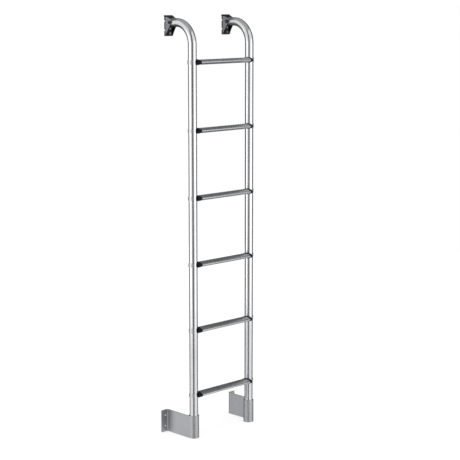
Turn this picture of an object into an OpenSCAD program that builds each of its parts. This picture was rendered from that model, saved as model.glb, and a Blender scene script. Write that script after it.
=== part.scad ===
// Fixed ladder for the rear wall of a motorhome. Two round rails hook over to
// the wall at the top, six tread rungs join them, and two brackets hold the feet.
// X runs along the rungs, Z is up, and the wall is the plane y = 0.
// The origin is midway between the two screw holes of the left foot bracket.

/* [Ladder] */
// Distance between the two rail centre lines
rail_spacing = 294; // [220:1:420]
// Number of rungs
rung_count = 6; // [2:1:7]
// Height from one rung to the next
rung_pitch = 250; // [180:1:320]
// Distance from the wall to the rail centre lines
wall_gap = 132; // [125:1:220]

/* [Rails] */
// Outer diameter of the rail tube
rail_d = 32; // [28:0.5:36]
// Wall thickness of the rail tube
rail_wall = 2; // [1.5:0.1:3]
// Radius of the top bend, measured at the centre line
bend_r = 80; // [60:1:85]
// Height from the top rung to the start of the bend
bend_rise = 62; // [40:1:120]

/* [Rungs] */
// Depth of the rung section, front to back
rung_depth = 48; // [40:0.5:54]
// Height of the rung section
rung_height = 19.5; // [17:0.5:24]
// Radius of the rung's front and rear edges
rung_nose_r = 3.5; // [3:0.5:8]
// Wall thickness of the rung section
rung_wall = 2; // [1.5:0.1:2.5]
// How far the rung stands in front of the rail centre lines
rung_forward = 6; // [2:0.5:10]
// How far the flat tread lies below the crown of the section
tread_drop = 1; // [0.6:0.1:1.6]
// Number of grooves along the tread
groove_count = 7; // [3:1:9]
// Width of one tread groove
groove_width = 1.4; // [0.8:0.1:1.8]
// Depth of one tread groove
groove_depth = 0.8; // [0.4:0.1:1.2]
// Distance from one groove to the next
groove_pitch = 2.8; // [2.2:0.1:3.2]
// Gap between the rail's surface and the cut end of the rung
rung_gap = 1.5; // [1:0.5:12]

/* [Tenons] */
// Width of the tenon that passes through the rail, front to back
tenon_width = 22; // [16:0.5:24]
// Height of the tenon
tenon_height = 10; // [8:0.5:12]
// Radius of the tenon's front and rear edges
tenon_end_r = 2.5; // [1.5:0.1:3.5]
// Wall thickness of the tenon
tenon_wall = 2; // [1.5:0.1:3]
// How far the flared bead spreads past the tenon on each side
bead_spread = 4; // [1:0.5:5]
// Thickness of the bead outside the rail
bead_thick = 2; // [1.5:0.5:4]
// How far the tenon reaches into the hollow rung
tenon_root = 12; // [8:1:25]

/* [Collars] */
// How far the plastic collar stands proud of the rung section
collar_proud = 1; // [0.5:0.1:2]
// Length of the lip that the collar slips over the rung
collar_lip = 2; // [1.5:0.5:6]
// Distance from the rail's centre line to the collar's outer end
collar_start = 9.5; // [4:0.5:12]
// Slip clearance between pieces that fit together
slip = 0.1; // [0.05:0.05:0.3]

/* [Foot brackets] */
// Height of the extruded foot bracket
foot_height = 87; // [70:1:120]
// Height from the top of the bracket to the bottom rung
foot_drop = 80; // [40:1:120]
// Wall of the socket ring around the rail
socket_wall = 3.5; // [2.5:0.5:6]
// Thickness of the bracket's plate
plate_thick = 3.5; // [3:0.5:6]
// Thickness of the wall flange
flange_thick = 4; // [3:0.5:6]
// How far the flange reaches out from the plate
flange_reach = 30; // [24:1:50]
// Distance from the plate's outer face to the screw holes
hole_inset = 10; // [8:0.5:16]
// Height between the two screw holes of a flange
hole_spacing = 42; // [30:1:60]
// Diameter of the screw holes
hole_d = 6.5; // [5:0.5:8]
// Radius of the flange's outer corners
flange_corner_r = 4; // [2:0.5:8]
// Radius inside the corner of plate and flange
plate_fillet_r = 5; // [2:0.5:5]

/* [End caps] */
// Thickness of the cap that closes the bottom of the rail
cap_thick = 3; // [2:0.5:6]
// Length of the cap's plug inside the rail
cap_plug = 14; // [8:1:30]

/* [Heads] */
// Height of the head above the rail's centre line
head_above = 26; // [24:0.5:36]
// Height of the head below the rail's centre line
head_below = 50; // [44:1:80]
// Thickness of the spacer against the wall
pad_thick = 7; // [6:0.5:14]
// Depth of the two grooves across the spacer's back
pad_groove_depth = 3.5; // [1:0.5:4]
// Height of each groove across the spacer's back
pad_groove_height = 6; // [3:0.5:8]
// Height between the two grooves
pad_groove_spacing = 33; // [26:1:40]
// Sheet thickness of the bracket's back and cheeks
cheek_thick = 2; // [1.5:0.5:4]
// Distance from the wall to the front edge of the cheeks
cheek_reach = 39; // [38:1:60]
// Length of the slope cut from the top of the cheeks' front
cheek_cut = 25; // [10:1:30]
// Distance from the wall to the clamp bolt
bolt_reach = 30; // [28:0.5:34]
// Diameter of the clamp bolt
bolt_d = 8; // [6:1:10]
// Thickness of the roof that covers the tube's end
roof_thick = 6; // [4:0.5:8]
// Depth of the roof's level top, before it slopes down to its nose
roof_level = 4; // [2:1:10]
// Distance from the wall to the roof's nose
roof_reach = 20; // [18:1:24]
// Thickness of the roof's nose over the tube
roof_nose = 2; // [1:0.5:3]
// How far the roof's rim overhangs each cheek
rim = 1; // [0.5:0.5:3]
// Wall thickness of the moulded cover
cover_wall = 3; // [2:0.5:4]
// Height between the two screw holes of a head
head_hole_spacing = 18; // [16:1:30]
// Height from the bottom of the head to its lower screw hole
head_hole_rise = 10; // [8:0.5:14]
// Diameter of the head's screw holes
head_hole_d = 5.5; // [4.5:0.5:6.5]

/* [Hidden] */
$fn = 96;
tiny = 0.01;
long = 400;
rail_r = rail_d / 2;
socket_r = rail_r + socket_wall;
left_x = hole_inset + socket_r;
right_x = left_x + rail_spacing;
middle_x = (left_x + right_x) / 2;
foot_top = foot_height / 2;
foot_bottom = -foot_height / 2;
rung_1_z = foot_top + foot_drop;
bend_z = rung_1_z + (rung_count - 1) * rung_pitch + bend_rise;
axis_z = bend_z + bend_r;
tread_z = rung_height / 2 - tread_drop;
rung_cut = rail_r + rung_gap;
rung_half = rail_spacing / 2 - rung_cut;
back_front = pad_thick + cheek_thick;
cover_back = back_front + cover_wall;
tube_end = cover_back + 2;
head_half = rail_r + cheek_thick;
bolt_head_d = bolt_d * 1.6;
bolt_head_h = bolt_d * 0.4;
nut_d = bolt_d * 1.85;
nut_h = bolt_d * 0.6;

rung_names = [for (i = [1:rung_count]) str("rung_", i)];
left_collar_names = [for (i = [1:rung_count]) str("rung_", i, "_left_collar")];
right_collar_names = [for (i = [1:rung_count]) str("rung_", i, "_right_collar")];
rail_names = ["left_rail", "right_rail"];
foot_names = ["left_foot_bracket", "right_foot_bracket", "left_end_cap", "right_end_cap"];
left_head_names = ["left_head_spacer", "left_head_bracket", "left_head_cover",
    "left_head_bolt", "left_head_nut"];
right_head_names = ["right_head_spacer", "right_head_bracket", "right_head_cover",
    "right_head_bolt", "right_head_nut"];

// Places what is drawn for a rail on the Z axis, with its inner side towards +X
module on_left() {
    translate([left_x, 0, 0]) children();
}

module on_right() {
    translate([right_x, 0, 0]) mirror([1, 0, 0]) children();
}

function rung_z(i) = rung_1_z + (i - 1) * rung_pitch;

// Turns an outline drawn as (distance from the wall, height) and spreads it along X
module from_side(width) {
    rotate([90, 0, -90]) linear_extrude(height = width, center = true) children();
}

// Oval made of four arcs that run smoothly into each other
module oval(depth, height, end_r) {
    a = depth / 2 - end_r;
    b = height / 2;
    side_r = (a * a + b * b - end_r * end_r) / (2 * (b - end_r));
    meet = a * side_r / (side_r - end_r);
    intersection() {
        translate([0, side_r - b]) circle(r = side_r, $fn = 240);
        translate([0, b - side_r]) circle(r = side_r, $fn = 240);
        square([2 * meet, height], center = true);
    }
    for (s = [-1, 1]) translate([s * a, 0]) circle(r = end_r);
}

// Outline of the rung, drawn as (distance towards the wall, height)
module rung_outline() {
    difference() {
        oval(rung_depth, rung_height, rung_nose_r);
        translate([-rung_depth / 2, tread_z]) square([rung_depth, rung_height]);
        for (g = [0:groove_count - 1]) {
            at = (g - (groove_count - 1) / 2) * groove_pitch;
            translate([at, tread_z]) square([groove_width, 2 * groove_depth], center = true);
        }
    }
}

// Outline of the tenon, grown on every side by extra
module tenon_outline(extra = 0) {
    oval(tenon_width + 2 * extra, tenon_height + 2 * extra, tenon_end_r + extra);
}

// Outline of the hole along the tenon
module tenon_hole() {
    inner_height = tenon_height - 2 * tenon_wall;
    oval(tenon_width - 2 * tenon_wall, inner_height, tenon_end_r * inner_height / tenon_height);
}

module rung_hollow() {
    top = tread_z - groove_depth - rung_wall;
    intersection() {
        oval(rung_depth - 2 * rung_wall, rung_height - 2 * rung_wall, rung_nose_r - rung_wall);
        translate([-rung_depth / 2, top - rung_height]) square([rung_depth, rung_height]);
    }
}

// Extrudes an outline of (distance towards the wall, height) along X
module along_x(from, to) {
    translate([from, 0, 0]) rotate([90, 0, 90]) linear_extrude(height = to - from) children();
}

// Stub at the rung's left end that passes through the rail, with its flared bead outside
module tenon(z) {
    inner = rung_cut + tenon_root;
    translate([0, -wall_gap, z]) {
        difference() {
            intersection() {
                along_x(-long, inner) tenon_outline();
                union() {
                    cylinder(r = rail_r + bead_thick, h = rung_height, center = true);
                    translate([0, -rail_d, -rung_height]) cube([inner, 2 * rail_d, 2 * rung_height]);
                }
            }
            along_x(-long, inner + tiny) tenon_hole();
        }
        difference() {
            intersection() {
                along_x(-rail_d, 0) tenon_outline(bead_spread);
                cylinder(r = rail_r + bead_thick, h = rung_height, center = true);
            }
            cylinder(r = rail_r, h = 2 * rung_height, center = true);
            along_x(-rail_d - tiny, tiny) tenon_outline(-tiny);
        }
    }
}

// Web that joins the tenon to the rung's own wall at the cut end
module shoulder(z) {
    translate([0, -wall_gap - rung_forward, z]) difference() {
        along_x(rung_cut, rung_cut + rung_wall) rung_outline();
        translate([0, rung_forward, 0])
            along_x(rung_cut - tiny, rung_cut + rung_wall + tiny) tenon_hole();
    }
}

module rung(i) {
    color("gainsboro") union() {
        translate([middle_x, -wall_gap - rung_forward, rung_z(i)]) difference() {
            along_x(-rung_half, rung_half) rung_outline();
            along_x(-rung_half - tiny, rung_half + tiny) rung_hollow();
        }
        on_left() tenon(rung_z(i));
        on_right() tenon(rung_z(i));
        on_left() shoulder(rung_z(i));
        on_right() shoulder(rung_z(i));
    }
}

// Black saddle between a rung and a rail, which reaches past the rail's front and back
module collar(z) {
    translate([0, -wall_gap, z]) difference() {
        translate([0, -rung_forward, 0])
            along_x(collar_start, rung_cut + collar_lip)
                oval(rung_depth + 2 * collar_proud, rung_height + 2 * collar_proud,
                    rung_nose_r + collar_proud);
        cylinder(r = rail_r, h = 2 * rung_height, center = true);
        translate([0, -rung_forward, 0])
            along_x(rung_cut, rung_cut + collar_lip + tiny)
                oval(rung_depth, rung_height, rung_nose_r);
        along_x(-tiny, rung_cut + tiny) tenon_outline();
    }
}

// Tube that rises from the foot, bends to the wall and has a slot for each tenon
module rail() {
    difference() {
        rail_tube(rail_r);
        rail_tube(rail_r - rail_wall, tiny);
        for (i = [1:rung_count])
            translate([0, -wall_gap, rung_z(i)])
                along_x(-rail_d, rail_d) tenon_outline();
        translate([0, -bolt_reach, axis_z])
            rotate([0, 90, 0]) cylinder(d = bolt_d + 2 * slip, h = 2 * rail_d, center = true);
    }
}

// Solid rod along the rail's route, lengthened at both ends by extra
module rail_tube(r, extra = 0) {
    start = foot_bottom + cap_thick - extra;
    straight = wall_gap - bend_r - tube_end + extra;
    translate([0, -wall_gap, start]) cylinder(r = r, h = bend_z - start);
    translate([0, -wall_gap + bend_r, bend_z])
        rotate([90, 0, -90]) rotate_extrude(angle = 90) translate([bend_r, 0]) circle(r = r);
    translate([0, -wall_gap + bend_r, axis_z]) rotate([-90, 0, 0]) cylinder(r = r, h = straight);
}

// Extruded bracket: a socket ring, a plate on its outer side and a flange on the wall
module foot_bracket() {
    plate_x = -socket_r;
    flange_x = plate_x - flange_reach;
    difference() {
        intersection() {
            translate([0, 0, foot_bottom]) linear_extrude(height = foot_height) difference() {
                union() {
                    translate([0, -wall_gap]) circle(r = socket_r);
                    translate([plate_x, -wall_gap]) square([plate_thick, wall_gap]);
                    translate([flange_x, -flange_thick]) square([flange_reach + plate_thick, flange_thick]);
                    translate([plate_x - plate_fillet_r, -flange_thick - plate_fillet_r])
                        inner_fillet(plate_fillet_r);
                }
                translate([0, -wall_gap]) circle(r = rail_r);
                bend = plate_thick + plate_fillet_r;
                translate([plate_x + plate_thick - bend, -bend]) outer_round(bend);
            }
            flange_corners(flange_x);
        }
        for (s = [-1, 1])
            translate([-left_x, tiny, s * hole_spacing / 2])
                rotate([90, 0, 0]) cylinder(d = hole_d, h = flange_thick + 2 * tiny);
    }
}

// Square with a quarter circle taken out, which rounds the corner of plate and flange
module inner_fillet(r) {
    difference() {
        square([r + tiny, r + tiny]);
        circle(r = r);
    }
}

// Square less its own quarter circle, which takes the sharp edge off the outside of the bend
module outer_round(r) {
    difference() {
        square([r + tiny, r + tiny]);
        circle(r = r);
    }
}

// Block that rounds the two outer corners of the flange
module flange_corners(flange_x) {
    r = flange_corner_r;
    width = flange_reach + 2 * socket_r + rail_d;
    rotate([90, 0, 0]) linear_extrude(height = 4 * wall_gap, center = true) union() {
        translate([flange_x + r, foot_bottom]) square([width, foot_height]);
        translate([flange_x, foot_bottom + r]) square([2 * r, foot_height - 2 * r]);
        for (z = [foot_bottom + r, foot_top - r]) translate([flange_x + r, z]) circle(r = r);
    }
}

// Disc that closes the rail's foot inside the socket, with a ribless plug above it
module end_cap() {
    translate([0, -wall_gap, foot_bottom]) {
        cylinder(r = rail_r, h = cap_thick);
        difference() {
            cylinder(r = rail_r - rail_wall, h = cap_thick + cap_plug);
            translate([0, 0, cap_thick])
                cylinder(r = rail_r - 2 * rail_wall, h = cap_plug + tiny);
        }
    }
}

// Two screw holes of a head, one above the other
module head_holes(depth) {
    for (n = [0, 1])
        translate([0, tiny, axis_z - head_below + head_hole_rise + n * head_hole_spacing])
            rotate([90, 0, 0]) cylinder(d = head_hole_d, h = depth + 2 * tiny);
}

// Spacer against the wall, with two grooves across its back
module head_spacer() {
    middle = (head_above - head_below) / 2;
    difference() {
        translate([0, 0, axis_z]) from_side(2 * head_half) difference() {
            translate([0, -head_below]) square([pad_thick, head_above + head_below - roof_thick]);
            for (s = [-1, 1])
                translate([-tiny, middle + s * pad_groove_spacing / 2 - pad_groove_height / 2])
                    square([pad_groove_depth + tiny, pad_groove_height]);
        }
        head_holes(pad_thick);
    }
}

// Outline of a cheek, as (distance from the wall, height from the rail's centre line)
module cheek_outline() {
    polygon([
        [pad_thick, head_above - roof_thick],
        [cheek_reach - cheek_cut, head_above - roof_thick],
        [cheek_reach, head_above - roof_thick - 0.4 * cheek_cut],
        [cheek_reach, -2],
        [cheek_reach - 8, -10],
        [back_front + 1, -head_below + 8],
        [pad_thick, -head_below + 8]
    ]);
}

// Metal bracket: a back and two cheeks that hold the tube between them
module head_bracket() {
    tall = head_above + head_below - roof_thick;
    difference() {
        translate([0, 0, axis_z]) {
            for (s = [-1, 1])
                translate([s * (rail_r + cheek_thick / 2), 0, 0]) from_side(cheek_thick) cheek_outline();
            from_side(2 * rail_r) translate([pad_thick, -head_below]) square([cheek_thick, tall]);
        }
        head_holes(back_front);
        translate([0, -bolt_reach, axis_z])
            rotate([0, 90, 0]) cylinder(d = bolt_d + 2 * slip, h = 4 * rail_d, center = true);
    }
}

// Moulded cover: a sloping roof over the tube's end, a rear wall and two walls under the tube
module head_cover() {
    under = head_above - roof_thick;
    nose = rail_r + roof_nose;
    slope_end = roof_level + (roof_reach - roof_level) * roof_thick / (head_above - nose);
    pocket = 2 * rail_r - 2 * cover_wall;
    difference() {
        translate([0, 0, axis_z]) {
            from_side(2 * (head_half + rim)) polygon([
                [0, under], [0, head_above], [roof_level, head_above], [slope_end, under]
            ]);
            difference() {
                from_side(2 * rail_r) polygon([
                    [back_front, under], [back_front, -head_below], [back_front + 1, -head_below],
                    [cheek_reach - 11, -13], [cover_back, -13], [cover_back, rail_r / 2],
                    [roof_reach, rail_r / 2], [roof_reach, nose], [slope_end, under]
                ]);
                from_side(pocket) polygon([
                    [cover_back, -head_below - tiny], [cover_back, -rail_r - cover_wall],
                    [cheek_reach, -rail_r - cover_wall], [cheek_reach, -head_below - tiny]
                ]);
            }
        }
        translate([0, 0, axis_z]) rotate([90, 0, 0])
            translate([0, 0, tube_end - tiny]) cylinder(r = rail_r, h = long);
        head_holes(cover_back);
    }
}

// Clamp bolt with a low round head on the rail's outer side
module head_bolt() {
    grip = 2 * head_half;
    translate([0, -bolt_reach, axis_z]) rotate([0, 90, 0]) difference() {
        union() {
            translate([0, 0, -head_half - bolt_head_h]) cylinder(d = bolt_head_d, h = bolt_head_h);
            translate([0, 0, -head_half - tiny]) cylinder(d = bolt_d, h = grip + nut_h + tiny);
        }
        translate([0, 0, -head_half - bolt_head_h - tiny])
            cylinder(d = bolt_d * 0.6, h = bolt_head_h * 0.7, $fn = 6);
    }
}

module head_nut() {
    translate([head_half, -bolt_reach, axis_z]) rotate([0, 90, 0]) difference() {
        cylinder(d = nut_d, h = nut_h, $fn = 6);
        translate([0, 0, -tiny]) cylinder(d = bolt_d, h = nut_h + 2 * tiny);
    }
}

module left_rail() { color("silver") on_left() rail(); }
module right_rail() { color("silver") on_right() rail(); }
module left_foot_bracket() { color("darkgray") on_left() foot_bracket(); }
module right_foot_bracket() { color("darkgray") on_right() foot_bracket(); }
module left_end_cap() { color("gray") on_left() end_cap(); }
module right_end_cap() { color("gray") on_right() end_cap(); }
module left_head_spacer() { color("dimgray") on_left() head_spacer(); }
module right_head_spacer() { color("dimgray") on_right() head_spacer(); }
module left_head_bracket() { color("darkgray") on_left() head_bracket(); }
module right_head_bracket() { color("darkgray") on_right() head_bracket(); }
module left_head_cover() { color("black") on_left() head_cover(); }
module right_head_cover() { color("black") on_right() head_cover(); }
module left_head_bolt() { color("dimgray") on_left() head_bolt(); }
module right_head_bolt() { color("dimgray") on_right() head_bolt(); }
module left_head_nut() { color("dimgray") on_left() head_nut(); }
module right_head_nut() { color("dimgray") on_right() head_nut(); }

left_rail();
right_rail();
for (i = [1:rung_count]) {
    rung(i);
    color("black") on_left() collar(rung_z(i));
    color("black") on_right() collar(rung_z(i));
}
left_foot_bracket();
right_foot_bracket();
left_end_cap();
right_end_cap();
left_head_spacer();
right_head_spacer();
left_head_bracket();
right_head_bracket();
left_head_cover();
right_head_cover();
left_head_bolt();
right_head_bolt();
left_head_nut();
right_head_nut();
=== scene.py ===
"""Vehicle ladder: finishes, small fittings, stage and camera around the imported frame."""

import math

import bmesh
import bpy
from bpy.props import FloatProperty, FloatVectorProperty, PointerProperty
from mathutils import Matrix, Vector


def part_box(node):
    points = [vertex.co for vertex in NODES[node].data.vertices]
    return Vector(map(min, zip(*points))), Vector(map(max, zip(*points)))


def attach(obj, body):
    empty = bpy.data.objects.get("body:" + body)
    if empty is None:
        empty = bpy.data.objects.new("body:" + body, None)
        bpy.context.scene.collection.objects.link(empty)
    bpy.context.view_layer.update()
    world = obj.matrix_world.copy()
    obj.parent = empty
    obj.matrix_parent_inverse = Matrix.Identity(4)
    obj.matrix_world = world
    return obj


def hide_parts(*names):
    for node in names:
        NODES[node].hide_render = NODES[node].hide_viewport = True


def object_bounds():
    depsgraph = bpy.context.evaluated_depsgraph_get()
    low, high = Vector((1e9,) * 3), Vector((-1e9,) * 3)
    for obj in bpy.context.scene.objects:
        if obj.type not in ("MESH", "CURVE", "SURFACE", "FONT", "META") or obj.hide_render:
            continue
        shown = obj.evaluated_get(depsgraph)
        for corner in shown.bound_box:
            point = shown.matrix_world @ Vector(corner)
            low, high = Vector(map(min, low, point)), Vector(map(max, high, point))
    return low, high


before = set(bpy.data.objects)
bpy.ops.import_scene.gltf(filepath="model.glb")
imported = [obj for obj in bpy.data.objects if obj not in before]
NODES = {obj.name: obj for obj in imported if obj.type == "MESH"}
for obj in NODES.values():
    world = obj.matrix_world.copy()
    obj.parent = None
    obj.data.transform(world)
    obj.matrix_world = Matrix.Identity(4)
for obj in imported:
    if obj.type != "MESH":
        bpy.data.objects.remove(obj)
cad_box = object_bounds()

bl_info = {
    "name": "Vehicle ladder",
    "version": (1, 0, 0),
    "blender": (4, 5, 0),
    "location": "View3D > Sidebar > Ladder",
    "description": "Dresses the packed ladder with finishes, plugs, screws, softened edges and a stage",
    "category": "Object",
}

MM = 0.001
SIDES = ("left", "right")
STEPS = range(1, 7)
MIDDLE = (cad_box[0] + cad_box[1]) / 2
FLOOR_HEIGHT = cad_box[0].z - 0.5 * MM

# The photograph's camera, fitted to its rails, rungs and foot brackets, with its focus in pixels
PHOTO_SIDE = 460
CAMERA_PLACE = (-3.4573, -3.8691, 1.6202)
CAMERA_TURN = math.radians(44.549)
CAMERA_DIP = math.radians(9.606)
CAMERA_FOCUS = 1397.7
SENSOR = 36.0

# Grain of a metal: how far its fine lines are drawn out along each axis, by a small number
RAIL_GRAIN = (1.0, 1.0, 0.006)
RUNG_GRAIN = (0.004, 1.0, 1.0)
BRACKET_GRAIN = (1.0, 1.0, 0.01)
EVEN_GRAIN = (1.0, 1.0, 1.0)

# Lumps that a metre of each pattern holds
FINE_LINES = 1500.0
FINE_PITS = 2600.0
METAL_CLOUDS = 9.0
MOULDED_CLOUDS = 22.0
DUST_SPECKS = 140.0
RUBBED_PATCHES = 60.0

# Colours that belong to no piece
DUST = (0.30, 0.29, 0.27, 1.0)
WHITE = (1.0, 1.0, 1.0, 1.0)

# Small distances of the wall screws: a face counts as level within the first, a shank ends at the second
LEVEL_WITHIN = 0.01 * MM
WALL_GAP = 0.5 * MM


# Shader maths

class Value:
    """A socket of a material or world, with arithmetic that adds Math nodes."""

    def __init__(self, finish, socket):
        self.finish = finish
        self.socket = socket

    def maths(self, operation, *numbers):
        """Adds a Math node on sockets and plain numbers, in their order."""
        return self.finish.node("ShaderNodeMath", {"operation": operation}, dict(enumerate(numbers)))

    def __add__(self, other):
        return self.maths("ADD", self, other)

    def __radd__(self, other):
        return self.maths("ADD", other, self)

    def __sub__(self, other):
        return self.maths("SUBTRACT", self, other)

    def __rsub__(self, other):
        return self.maths("SUBTRACT", other, self)

    def __mul__(self, other):
        return self.maths("MULTIPLY", self, other)

    def __rmul__(self, other):
        return self.maths("MULTIPLY", other, self)

    def largest(self, other):
        return self.maths("MAXIMUM", self, other)

    def unsigned(self):
        return self.maths("ABSOLUTE", self)

    def root(self):
        return self.maths("SQRT", self)

    def between(self, low, high):
        """0 below low, 1 above high, smooth between them."""
        return self.finish.node("ShaderNodeMapRange", {"interpolation_type": "SMOOTHSTEP"}, {
            "Value": self, "From Min": low, "From Max": high
        })


class Finish:
    """The nodes of a material or a world, added one by one."""

    def __init__(self, owner):
        self.owner = owner
        owner.use_nodes = True
        self.tree = owner.node_tree
        self.tree.nodes.clear()

    def node(self, kind, settings=None, inputs=None, output=0):
        """Adds any node: its settings first, then the values or links of its sockets."""
        made = self.tree.nodes.new(kind)
        for name, setting in (settings or {}).items():
            setattr(made, name, setting)
        for key, item in (inputs or {}).items():
            socket = self.find(made.inputs, key)
            if isinstance(item, Value):
                self.tree.links.new(item.socket, socket)
            else:
                socket.default_value = item
        return Value(self, self.find(made.outputs, output))

    @staticmethod
    def find(sockets, key):
        """A socket by its number, its identifier or its name."""
        if isinstance(key, int):
            return sockets[key]
        for socket in sockets:
            if socket.identifier == key:
                return socket
        return sockets[key]

    def split(self, vector):
        """The three numbers that a vector holds."""
        parts = self.tree.nodes.new("ShaderNodeSeparateXYZ")
        self.tree.links.new(vector.socket, parts.inputs[0])
        return [Value(self, output) for output in parts.outputs]

    def place(self):
        """Object coordinates, which are the frame's own because each place is in its mesh."""
        return self.node("ShaderNodeTexCoord", output="Object")

    def axes(self):
        """Object coordinates as three numbers."""
        return self.split(self.place())

    def upward(self):
        """How far the surface looks up: 1 on a level top."""
        return self.split(self.node("ShaderNodeNewGeometry", output="Normal"))[2]

    def noise(self, lumps, detail=2.0, grain=EVEN_GRAIN, roughness=0.5):
        """Noise with about that many lumps in a metre, drawn out along its grain."""
        drawn = self.node("ShaderNodeMapping", {}, {"Vector": self.place(), "Scale": grain})
        return self.node("ShaderNodeTexNoise", {}, {
            "Vector": drawn, "Scale": lumps, "Detail": detail, "Roughness": roughness
        }, "Fac")

    def mix(self, factor, first, second):
        """One colour turning into another."""
        return self.node("ShaderNodeMix", {"data_type": "RGBA"}, {
            "Factor_Float": factor, "A_Color": first, "B_Color": second
        }, "Result_Color")

    def bump(self, height, strength, distance):
        """A normal that leans with a height, as deep as a distance where the height is 1."""
        return self.node("ShaderNodeBump", {}, {
            "Height": height, "Strength": strength, "Distance": distance
        })

    def surface(self, shader, kind="ShaderNodeOutputMaterial"):
        """Links the shader to an output, and gives back the material or world."""
        output = self.tree.nodes.new(kind)
        self.tree.links.new(shader.socket, output.inputs["Surface"])
        return self.owner


def new_finish(name):
    """The empty nodes of a new material."""
    return Finish(bpy.data.materials.new(name))


def shade(colour, factor=1.0):
    """A colour property as the four numbers of a colour socket, made lighter or darker."""
    return (*[min(1.0, channel * factor) for channel in colour[:3]], 1.0)


def metal(name, colour, roughness, depth, grain=EVEN_GRAIN, wear=None):
    """Anodised or cast metal. Depth is how strongly its fine lines and pits show in relief."""
    made = new_finish(name)
    lines = made.noise(FINE_LINES, detail=3.0, grain=grain, roughness=0.6)
    cloud = made.noise(METAL_CLOUDS, detail=3.0)
    pits = made.noise(FINE_PITS, detail=1.0)
    dull = shade(colour, 0.955)
    bright = shade(colour, 1.03)
    scratched = shade(colour, 0.9)
    rubbed = shade(colour, 1.16)
    tone = made.mix(cloud.between(0.3, 0.7), dull, bright)
    tone = made.mix(lines.between(0.35, 0.7) * 0.35, tone, scratched)
    rough = roughness + (cloud - 0.5) * 0.10 + (lines - 0.5) * 0.12
    if wear:
        rub = wear(made)
        tone = made.mix(rub * 0.45, tone, rubbed)
        rough = rough - rub * 0.07
    relief = lines * 0.75 + pits * 0.25
    return made.surface(made.node("ShaderNodeBsdfPrincipled", {}, {
        "Base Color": tone,
        "Metallic": 1.0,
        "Roughness": rough,
        "Normal": made.bump(relief, depth, 0.08 * MM),
    }))


def moulding(name, colour, roughness, lumps, depth, dust=0.0, gloss=0.5):
    """Plastic or rubber with a moulded grain, and a share of dust on what looks up."""
    made = new_finish(name)
    grain = made.noise(lumps)
    cloud = made.noise(MOULDED_CLOUDS, detail=3.0)
    settled = made.upward().between(0.35, 0.95) * made.noise(DUST_SPECKS, detail=4.0).between(0.42, 0.72)
    dark = shade(colour, 0.8)
    pale = shade(colour, 1.25)
    tone = made.mix(cloud.between(0.3, 0.7), dark, pale)
    tone = made.mix(settled * dust, tone, DUST)
    rough = roughness + (cloud - 0.5) * 0.14 + settled * 0.12
    return made.surface(made.node("ShaderNodeBsdfPrincipled", {}, {
        "Base Color": tone,
        "Roughness": rough,
        "Specular IOR Level": gloss,
        "Normal": made.bump(grain, depth, 0.12 * MM),
    }))


def tread_wear(made):
    """Where boots rub: the ribs' tops, most in the middle of a rung."""
    from_middle = (made.axes()[0] - MIDDLE.x).unsigned()
    stepped_on = 1.0 - from_middle.between(0.02, 0.13)
    patches = made.noise(RUBBED_PATCHES, detail=3.0).between(0.3, 0.65)
    return made.upward().between(0.75, 0.97) * stepped_on * patches


# Mesh work

def alone(piece):
    """Selects one object and makes it active."""
    bpy.ops.object.select_all(action="DESELECT")
    piece.select_set(True)
    bpy.context.view_layer.objects.active = piece


def named(name):
    """Names the object that an operator has just made, and its mesh."""
    piece = bpy.context.active_object
    piece.name = name
    piece.data.name = name
    return piece


def pick(piece, kind, test):
    """Selects only the faces, edges or vertices of a mesh in edit mode that pass a test."""
    bpy.ops.mesh.select_all(action="DESELECT")
    bpy.ops.mesh.select_mode(type=kind)
    data = bmesh.from_edit_mesh(piece.data)
    items = {"FACE": data.faces, "EDGE": data.edges, "VERT": data.verts}[kind]
    for item in items:
        item.select_set(test(item))
    data.select_flush_mode()
    bmesh.update_edit_mesh(piece.data)


def set_down(piece):
    """Puts a finished piece's place into its mesh."""
    alone(piece)
    bpy.ops.object.transform_apply(location=True, rotation=True, scale=True)


def modified(piece, kind, **settings):
    """Adds a modifier to a piece, sets it and applies it."""
    alone(piece)
    bpy.ops.object.modifier_add(type=kind)
    modifier = piece.modifiers[-1]
    for name, setting in settings.items():
        setattr(modifier, name, setting)
    bpy.ops.object.modifier_apply(modifier=modifier.name)


def carved(piece, tool, operation):
    """Shapes a piece by a tool, which goes."""
    modified(piece, "BOOLEAN", operation=operation, solver="EXACT", object=tool)
    bpy.data.objects.remove(tool)


def dress(piece, material):
    """Gives a new piece its material and its body."""
    piece.data.materials.clear()
    piece.data.materials.append(material)
    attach(piece, "root")


def recoat(names, material):
    """Gives CAD nodes a finished material in place of the plain one."""
    for name in names:
        NODES[name].data.materials[0] = material


def softened(node_name, width, material):
    """A copy of a CAD node with its sharp edges broken, which stands for the node."""
    name = node_name + "_soft"
    piece = bpy.data.objects.new(name, NODES[node_name].data.copy())
    bpy.context.scene.collection.objects.link(piece)
    alone(piece)
    bpy.ops.object.mode_set(mode="EDIT")
    bpy.ops.mesh.select_all(action="SELECT")
    bpy.ops.mesh.remove_doubles(threshold=0.002 * MM)
    bpy.ops.mesh.dissolve_limited(angle_limit=math.radians(0.6))
    bpy.ops.mesh.select_all(action="DESELECT")
    bpy.ops.object.mode_set(mode="OBJECT")
    modified(piece, "BEVEL", width=width, segments=3, limit_method="ANGLE",
             angle_limit=math.radians(35), miter_outer="MITER_ARC", use_clamp_overlap=True)
    bpy.ops.object.shade_smooth_by_angle(angle=math.radians(32))
    modified(piece, "WEIGHTED_NORMAL", keep_sharp=True)
    dress(piece, material)
    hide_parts(node_name)


# Sizes and colours

def colour_property(name, description, default):
    return FloatVectorProperty(name=name, description=description, default=default,
                               subtype="COLOR", size=3, min=0.0, max=1.0)


def length_property(name, description, default):
    return FloatProperty(name=name, description=description, default=default,
                         subtype="DISTANCE", unit="LENGTH", min=0.0, precision=5)


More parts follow.
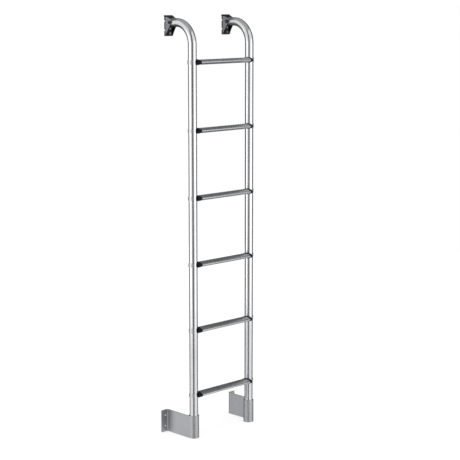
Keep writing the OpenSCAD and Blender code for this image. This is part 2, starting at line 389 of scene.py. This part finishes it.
def angle_property(name, description, degrees):
    return FloatProperty(name=name, description=description, default=math.radians(degrees),
                         subtype="ANGLE", unit="ROTATION", min=0.0, max=math.pi)


def power_property(name, description, default):
    return FloatProperty(name=name, description=description, default=default, min=0.0, unit="POWER")


def level_property(name, description, default):
    return FloatProperty(name=name, description=description, default=default, min=0.0, max=2.0)


class LadderColours(bpy.types.PropertyGroup):
    """Colours of the ladder's finishes"""

    rail: colour_property("Rail", "Satin anodised tube", (0.70, 0.71, 0.73))
    rung: colour_property("Rung", "Matt anodised tread extrusion", (0.57, 0.58, 0.60))
    bracket: colour_property("Foot bracket", "Matt anodised bracket extrusion", (0.46, 0.475, 0.495))
    head: colour_property("Head bracket", "Matt metal of the head's cheeks", (0.25, 0.262, 0.285))
    black: colour_property("Black moulding", "Collars and head covers", (0.005, 0.005, 0.006))
    cap: colour_property("End cap", "Grey plugs under the rails", (0.20, 0.21, 0.22))
    rubber: colour_property("Spacer", "Rubber between head and wall", (0.05, 0.054, 0.058))
    bolt: colour_property("Bolt", "Dark zinc of clamp bolts and nuts", (0.06, 0.063, 0.07))
    screw: colour_property("Screw", "Steel of the wall screws", (0.30, 0.31, 0.32))


class LadderSizes(bpy.types.PropertyGroup):
    """Sizes of the ladder's softened edges, tenon plugs and wall screws"""

    metal_edge: length_property("Metal edge", "Width of the broken edge on brackets and caps", 0.4 * MM)
    moulded_edge: length_property("Moulded edge", "Width of the rounding on mouldings", 0.9 * MM)
    collar_edge: length_property("Collar edge", "Width of the rounding on collars", 0.6 * MM)
    plug_width: length_property("Plug width", "Width of the plug in a tenon", 18.4 * MM)
    plug_height: length_property("Plug height", "Height of the plug in a tenon", 6.4 * MM)
    plug_depth: length_property("Plug depth", "Depth of the plug in a tenon", 5.0 * MM)
    plug_sunk: length_property("Plug sunk", "How far a plug lies under the bead's face", 0.4 * MM)
    screw_head: length_property("Screw head", "Diameter of a wall screw's head", 9.0 * MM)
    screw_height: length_property("Screw head height", "Height of a wall screw's head", 3.2 * MM)
    screw_dome: length_property("Screw dome", "Rounding of a screw head's rim", 1.76 * MM)
    screw_shank: length_property("Screw shank", "Diameter of a wall screw's shank", 5.0 * MM)
    screw_seat: length_property("Screw seat", "Distance from the wall to the screw heads' seat", 12.0 * MM)
    screw_rise: length_property("Screw rise", "Height of a head's lower screw over its bottom", 10.0 * MM)
    screw_spacing: length_property("Screw spacing", "Height between a head's two screws", 18.0 * MM)
    recess_length: length_property("Recess length", "Length of the cross recess's arms", 4.68 * MM)
    recess_width: length_property("Recess width", "Width of the cross recess's arms", 0.99 * MM)
    recess_depth: length_property("Recess depth", "Depth of the cross recess", 1.76 * MM)


class LadderStage(bpy.types.PropertyGroup):
    """Light and ground around the ladder"""

    floor_reach: length_property("Floor reach", "Radius of the floor", 4.0)
    floor_tint: colour_property("Floor", "Colour of the floor", (0.98, 0.98, 0.98))
    floor_white: level_property("Floor white", "Brightness of the floor's white share", 1.07)
    shadow: FloatProperty(name="Shadow", description="How much of its shadow the floor shows",
                          default=0.25, min=0.0, max=1.0, subtype="FACTOR")
    shadow_near: length_property("Shadow near", "Distance at which the shadow starts to fade", 1.2)
    shadow_far: length_property("Shadow far", "Distance at which the floor is plain white", 3.0)
    ambient: level_property("Ambient", "Strength of the world on matt surfaces", 0.80)
    side_lamp: power_property("Side lamps", "Power of each side lamp", 14.0)
    side_turn: angle_property("Side lamp turn", "Angle between the camera and each side lamp", 62)
    side_reach: length_property("Side lamp reach", "Distance of the side lamps", 3.0)
    side_rise: length_property("Side lamp rise", "Height of the side lamps over the middle", 0.2)
    side_width: length_property("Side lamp width", "Width of each side lamp", 1.6)
    side_height: length_property("Side lamp height", "Height of each side lamp", 2.4)
    top_lamp: power_property("Top lamp", "Power of the lamp overhead", 26.0)
    top_width: length_property("Top lamp width", "Diameter of the lamp overhead", 2.4)
    top_rise: length_property("Top lamp rise", "Height of the lamp overhead over the middle", 3.0)
    top_left: length_property("Top lamp left", "How far the lamp overhead stands to the left", 0.4)
    top_front: length_property("Top lamp front", "How far the lamp overhead stands in front", 0.6)
    card_grey: level_property("Card grey", "Brightness of the grey cards", 0.15)
    ceiling_grey: level_property("Ceiling grey", "Brightness of the card overhead", 0.42)
    card_reach: length_property("Card reach", "Distance of the grey cards", 1.5)
    card_height: length_property("Card height", "Height of the grey cards above the floor", 3.2)
    card_drop: length_property("Card drop", "How far the grey cards reach below the floor", 1.28)
    front_card: angle_property("Front card", "Half the angle of the card behind the camera", 19)
    rear_card: angle_property("Rear card", "Half the angle of the card behind the ladder", 81)


# Operators

class LADDER_OT_rails(bpy.types.Operator):
    """Finish both bent tubes and the plugs in their feet"""

    bl_idname = "ladder.rails"
    bl_label = "Rails"

    def execute(self, context):
        colours = context.scene.ladder_colours
        sizes = context.scene.ladder_sizes
        tube = metal("rail satin", colours.rail, roughness=0.18, depth=0.10, grain=RAIL_GRAIN)
        recoat([side + "_rail" for side in SIDES], tube)
        cap = moulding("cap grey", colours.cap, roughness=0.5, lumps=1500.0, depth=0.25, dust=0.1)
        for side in SIDES:
            softened(side + "_end_cap", sizes.metal_edge, cap)
        return {"FINISHED"}


class LADDER_OT_rungs(bpy.types.Operator):
    """Finish the six ribbed rungs and plug the ends of their tenons"""

    bl_idname = "ladder.rungs"
    bl_label = "Rungs"

    def execute(self, context):
        colours = context.scene.ladder_colours
        sizes = context.scene.ladder_sizes
        tread = metal("rung matt", colours.rung, roughness=0.34, depth=0.14, grain=RUNG_GRAIN,
                      wear=tread_wear)
        recoat([f"rung_{step}" for step in STEPS], tread)
        plug = metal("plug matt", colours.rung, roughness=0.38, depth=0.10)
        for step in STEPS:
            low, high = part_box(f"rung_{step}")
            height = (low.z + high.z) / 2
            for side, tip in (("left", low.x), ("right", high.x)):
                axis = self.rail_axis(side, height)
                piece = self.tenon_plug(f"rung_{step}_{side}_plug", tip, axis, sizes)
                dress(piece, plug)
        return {"FINISHED"}

    @staticmethod
    def rail_axis(side, height):
        """The middle of a rail's straight part at a height, where its end cap stands too."""
        low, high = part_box(side + "_end_cap")
        return Vector(((low.x + high.x) / 2, (low.y + high.y) / 2, height))

    @staticmethod
    def tenon_plug(name, tip, axis, sizes):
        """An oval plug for the hollow end of a tenon, as round as the flared bead it sits in."""
        bead_round = abs(axis.x - tip)
        inward = math.copysign(sizes.plug_depth / 2, axis.x - tip)
        bpy.ops.object.select_all(action="DESELECT")
        bpy.ops.mesh.primitive_cylinder_add(
            vertices=96, radius=bead_round - sizes.plug_sunk, depth=2 * sizes.plug_height, location=axis)
        tool = named("bead_tool")
        set_down(tool)
        bpy.ops.object.select_all(action="DESELECT")
        bpy.ops.mesh.primitive_cylinder_add(
            vertices=48, radius=1.0, depth=2.0, rotation=(0, math.pi / 2, 0),
            location=(tip + inward, axis.y, axis.z),
            scale=(sizes.plug_height / 2, sizes.plug_width / 2, sizes.plug_depth / 2))
        piece = named(name)
        set_down(piece)
        carved(piece, tool, "INTERSECT")
        bpy.ops.object.shade_smooth_by_angle(angle=math.radians(30))
        return piece


class LADDER_OT_collars(bpy.types.Operator):
    """Finish the black collars between rungs and rails"""

    bl_idname = "ladder.collars"
    bl_label = "Collars"

    def execute(self, context):
        colours = context.scene.ladder_colours
        sizes = context.scene.ladder_sizes
        black = moulding("collar black", colours.black, roughness=0.32, lumps=1900.0, depth=0.25,
                         gloss=0.18)
        for step in STEPS:
            for side in SIDES:
                softened(f"rung_{step}_{side}_collar", sizes.collar_edge, black)
        return {"FINISHED"}


class LADDER_OT_feet(bpy.types.Operator):
    """Finish the foot brackets, with their cut edges broken"""

    bl_idname = "ladder.feet"
    bl_label = "Foot brackets"

    def execute(self, context):
        colours = context.scene.ladder_colours
        sizes = context.scene.ladder_sizes
        extrusion = metal("bracket matt", colours.bracket, roughness=0.48, depth=0.16,
                          grain=BRACKET_GRAIN)
        for side in SIDES:
            softened(side + "_foot_bracket", sizes.metal_edge, extrusion)
        return {"FINISHED"}


class LADDER_OT_heads(bpy.types.Operator):
    """Finish the heads: spacer, bracket, cover, bolt and nut"""

    bl_idname = "ladder.heads"
    bl_label = "Heads"

    def execute(self, context):
        colours = context.scene.ladder_colours
        sizes = context.scene.ladder_sizes
        cheek = metal("head metal", colours.head, roughness=0.42, depth=0.35)
        black = moulding("cover black", colours.black, roughness=0.30, lumps=1900.0, depth=0.25,
                         gloss=0.20)
        rubber = moulding("spacer rubber", colours.rubber, roughness=0.75, lumps=900.0, depth=0.35,
                          dust=0.2)
        zinc = metal("bolt zinc", colours.bolt, roughness=0.33, depth=0.2)
        for side in SIDES:
            softened(side + "_head_bracket", sizes.metal_edge, cheek)
            softened(side + "_head_cover", sizes.moulded_edge, black)
            softened(side + "_head_spacer", sizes.moulded_edge, rubber)
            recoat([side + "_head_bolt", side + "_head_nut"], zinc)
        return {"FINISHED"}


class LADDER_OT_wall_screws(bpy.types.Operator):
    """Model one wall screw of the heads and copy it to all four holes"""

    bl_idname = "ladder.wall_screws"
    bl_label = "Wall screws"

    def execute(self, context):
        colours = context.scene.ladder_colours
        sizes = context.scene.ladder_sizes
        steel = metal("screw steel", colours.screw, roughness=0.28, depth=0.15)
        seats = self.seats(sizes)
        first = self.screw(seats[0], sizes)
        dress(first, steel)
        for place, seat in enumerate(seats[1:], 2):
            alone(first)
            bpy.ops.object.duplicate(linked=False)
            copy = named(f"head_screw_{place}")
            bpy.ops.transform.translate(value=seat - seats[0])
            set_down(copy)
            dress(copy, steel)
        return {"FINISHED"}

    @staticmethod
    def seats(sizes):
        """Middle of each screw head's seat, on the rear wall of a cover."""
        made = []
        for side in SIDES:
            low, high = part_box(side + "_head_bracket")
            for rise in (sizes.screw_rise, sizes.screw_rise + sizes.screw_spacing):
                made.append(Vector(((low.x + high.x) / 2, -sizes.screw_seat, low.z + rise)))
        return made

    def screw(self, seat, sizes):
        """A pan head with a cross recess, on a shank that ends just short of the wall."""
        radius = sizes.screw_head / 2
        height = sizes.screw_height
        front = seat.y - height
        bpy.ops.object.select_all(action="DESELECT")
        bpy.ops.mesh.primitive_cylinder_add(
            vertices=40, radius=radius, depth=height, rotation=(math.pi / 2, 0, 0),
            location=seat - Vector((0, height / 2, 0)))
        piece = named("head_screw_1")
        set_down(piece)
        bpy.ops.object.mode_set(mode="EDIT")
        pick(piece, "FACE", lambda face: face.calc_center_median().y < front + LEVEL_WITHIN)
        bpy.ops.mesh.bevel(offset=sizes.screw_dome, segments=5, affect="EDGES", profile=0.5)
        pick(piece, "FACE", lambda face: face.calc_center_median().y > seat.y - LEVEL_WITHIN)
        bpy.ops.mesh.inset(thickness=radius - sizes.screw_shank / 2, depth=0)
        bpy.ops.mesh.extrude_region_move(
            TRANSFORM_OT_translate={"value": (0, -seat.y - WALL_GAP, 0)})
        bpy.ops.object.mode_set(mode="OBJECT")
        for turn in (math.pi / 4, 3 * math.pi / 4):
            self.recess_arm(piece, Vector((seat.x, front, seat.z)), turn, sizes)
        bpy.ops.object.shade_smooth_by_angle(angle=math.radians(30))
        return piece

    @staticmethod
    def recess_arm(piece, middle, turn, sizes):
        """Cuts one arm of the cross recess into the front of a screw's head."""
        bpy.ops.object.select_all(action="DESELECT")
        bpy.ops.mesh.primitive_cube_add(
            size=1, location=middle, rotation=(0, turn, 0),
            scale=(sizes.recess_length, 2 * sizes.recess_depth, sizes.recess_width))
        tool = named("recess_tool")
        set_down(tool)
        carved(piece, tool, "DIFFERENCE")


class LADDER_OT_stage(bpy.types.Operator):
    """Build the floor, the world, the grey cards, the lamps and the camera"""

    bl_idname = "ladder.stage"
    bl_label = "Stage"

    def execute(self, context):
        stage = context.scene.ladder_stage
        self.floor(stage)
        self.world(context.scene, stage)
        self.cards(stage)
        self.lamps(stage)
        self.camera(context.scene)
        context.scene.view_settings.view_transform = "Standard"
        return {"FINISHED"}

    @staticmethod
    def seen(made):
        """1 for rays from the camera, a reflection or a clear piece."""
        path = made.tree.nodes.new("ShaderNodeLightPath")
        rays = [Value(made, path.outputs[name])
                for name in ("Is Camera Ray", "Is Glossy Ray", "Is Transmission Ray")]
        return rays[0].largest(rays[1]).largest(rays[2])

    def floor(self, stage):
        """A white floor that shows a little of the ladder's shadow, and none far from it."""
        bpy.ops.object.select_all(action="DESELECT")
        bpy.ops.mesh.primitive_circle_add(
            vertices=96, radius=stage.floor_reach, fill_type="NGON",
            location=(MIDDLE.x, MIDDLE.y, FLOOR_HEIGHT))
        ground = named("floor")
        set_down(ground)
        ground.visible_glossy = False
        made = new_finish("floor paper")
        across, along, _ = made.axes()
        across = across - MIDDLE.x
        along = along - MIDDLE.y
        away = (across * across + along * along).root()
        plain = away.between(stage.shadow_near, stage.shadow_far).largest(1.0 - stage.shadow)
        lit = made.node("ShaderNodeBsdfDiffuse", {}, {"Color": shade(stage.floor_tint)})
        white = made.node("ShaderNodeEmission", {}, {"Color": WHITE, "Strength": stage.floor_white})
        both = made.node("ShaderNodeMixShader", {}, {0: plain * self.seen(made), 1: lit, 2: white})
        ground.data.materials.append(made.surface(both))

    def world(self, scene, stage):
        """White where it is seen, and a plain ambient light for matt surfaces."""
        scene.world = bpy.data.worlds.new("studio")
        made = Finish(scene.world)
        seen = self.seen(made)
        strength = seen + (1.0 - seen) * stage.ambient
        scene.world.cycles.sampling_method = "NONE"
        sky = made.node("ShaderNodeBackground", {}, {"Color": WHITE, "Strength": strength})
        made.surface(sky, "ShaderNodeOutputWorld")

    def cards(self, stage):
        """Grey cards that only reflections meet: behind the camera, behind the ladder and overhead."""
        bpy.ops.object.select_all(action="DESELECT")
        bpy.ops.mesh.primitive_cylinder_add(
            vertices=180, radius=stage.card_reach, end_fill_type="NOTHING",
            depth=stage.card_height + stage.card_drop,
            location=(MIDDLE.x, MIDDLE.y, FLOOR_HEIGHT + (stage.card_height - stage.card_drop) / 2))
        ring = named("grey_cards")
        set_down(ring)
        bpy.ops.object.mode_set(mode="EDIT")
        pick(ring, "FACE", lambda face: not self.on_card(face.calc_center_median(), stage))
        bpy.ops.mesh.delete(type="FACE")
        bpy.ops.object.mode_set(mode="OBJECT")
        self.reflected(ring, stage.card_grey)
        bpy.ops.object.select_all(action="DESELECT")
        bpy.ops.mesh.primitive_circle_add(
            vertices=96, radius=stage.card_reach, fill_type="NGON",
            location=(MIDDLE.x, MIDDLE.y, FLOOR_HEIGHT + stage.card_height))
        ceiling = named("ceiling_card")
        set_down(ceiling)
        self.reflected(ceiling, stage.ceiling_grey)

    @staticmethod
    def on_card(spot, stage):
        """Whether a place round the ladder lies on a card, by its angle from the camera's side."""
        angle = math.atan2(MIDDLE.x - spot.x, MIDDLE.y - spot.y) - CAMERA_TURN
        angle = abs(math.remainder(angle, math.tau))
        return angle < stage.front_card or angle > math.pi - stage.rear_card

    @staticmethod
    def reflected(card, grey):
        """Gives a card its own plain light and hides it from all but reflections."""
        made = new_finish(card.name)
        glow = made.node("ShaderNodeEmission", {}, {"Color": (grey, grey, grey, 1.0), "Strength": 1.0})
        card.data.materials.append(made.surface(glow))
        card.visible_camera = False
        card.visible_diffuse = False
        card.visible_shadow = False
        card.visible_transmission = False

    def lamps(self, stage):
        """A tall lamp on each side of the camera, and a round one overhead."""
        for name, turn in (("left_lamp", stage.side_turn), ("right_lamp", -stage.side_turn)):
            angle = CAMERA_TURN + turn
            place = Vector((-math.sin(angle) * stage.side_reach, -math.cos(angle) * stage.side_reach,
                            stage.side_rise))
            lamp = self.lamp(name, place, (math.pi / 2, 0, -angle), stage.side_width, stage.side_lamp)
            lamp.shape = "RECTANGLE"
            lamp.size_y = stage.side_height
        place = Vector((-stage.top_left, -stage.top_front, stage.top_rise))
        lamp = self.lamp("top_lamp", place, (0, 0, 0), stage.top_width, stage.top_lamp)
        lamp.shape = "DISK"

    @staticmethod
    def lamp(name, place, rotation, width, power):
        """An area lamp, placed from the ladder's middle, that the camera doesn't see."""
        bpy.ops.object.light_add(type="AREA", location=MIDDLE + place, rotation=rotation)
        lamp = named(name)
        lamp.visible_camera = False
        lamp.data.size = width
        lamp.data.energy = power
        return lamp.data

    @staticmethod
    def camera(scene):
        """The photograph's camera."""
        bpy.ops.object.camera_add(
            location=CAMERA_PLACE, rotation=(math.pi / 2 - CAMERA_DIP, 0, -CAMERA_TURN))
        camera = named("camera")
        camera.data.sensor_width = SENSOR
        camera.data.lens = CAMERA_FOCUS * SENSOR / PHOTO_SIDE
        camera.data.clip_start = 0.05
        camera.data.clip_end = 100
        scene.camera = camera


class LADDER_PT_sidebar(bpy.types.Panel):
    """Lists the ladder's sizes, colours and operators"""

    bl_idname = "LADDER_PT_sidebar"
    bl_label = "Vehicle ladder"
    bl_space_type = "VIEW_3D"
    bl_region_type = "UI"
    bl_category = "Ladder"

    def draw(self, context):
        for group in GROUPS:
            settings = getattr(context.scene, group)
            for name in settings.bl_rna.properties.keys():
                if name not in ("rna_type", "name"):
                    self.layout.prop(settings, name)
        for operator in OPERATORS:
            self.layout.operator(operator.bl_idname)


GROUPS = {"ladder_colours": LadderColours, "ladder_sizes": LadderSizes, "ladder_stage": LadderStage}
OPERATORS = (LADDER_OT_rails, LADDER_OT_rungs, LADDER_OT_collars, LADDER_OT_feet,
             LADDER_OT_heads, LADDER_OT_wall_screws, LADDER_OT_stage)


def register():
    for kind in (*GROUPS.values(), *OPERATORS, LADDER_PT_sidebar):
        bpy.utils.register_class(kind)
    for name, group in GROUPS.items():
        setattr(bpy.types.Scene, name, PointerProperty(type=group))


def unregister():
    for name in GROUPS:
        delattr(bpy.types.Scene, name)
    for kind in (LADDER_PT_sidebar, *reversed(OPERATORS), *reversed(GROUPS.values())):
        bpy.utils.unregister_class(kind)


def main():
    register()
    bpy.ops.ladder.rails()
    bpy.ops.ladder.rungs()
    bpy.ops.ladder.collars()
    bpy.ops.ladder.feet()
    bpy.ops.ladder.heads()
    bpy.ops.ladder.wall_screws()
    bpy.ops.ladder.stage()


if __name__ == "__main__":
    main()
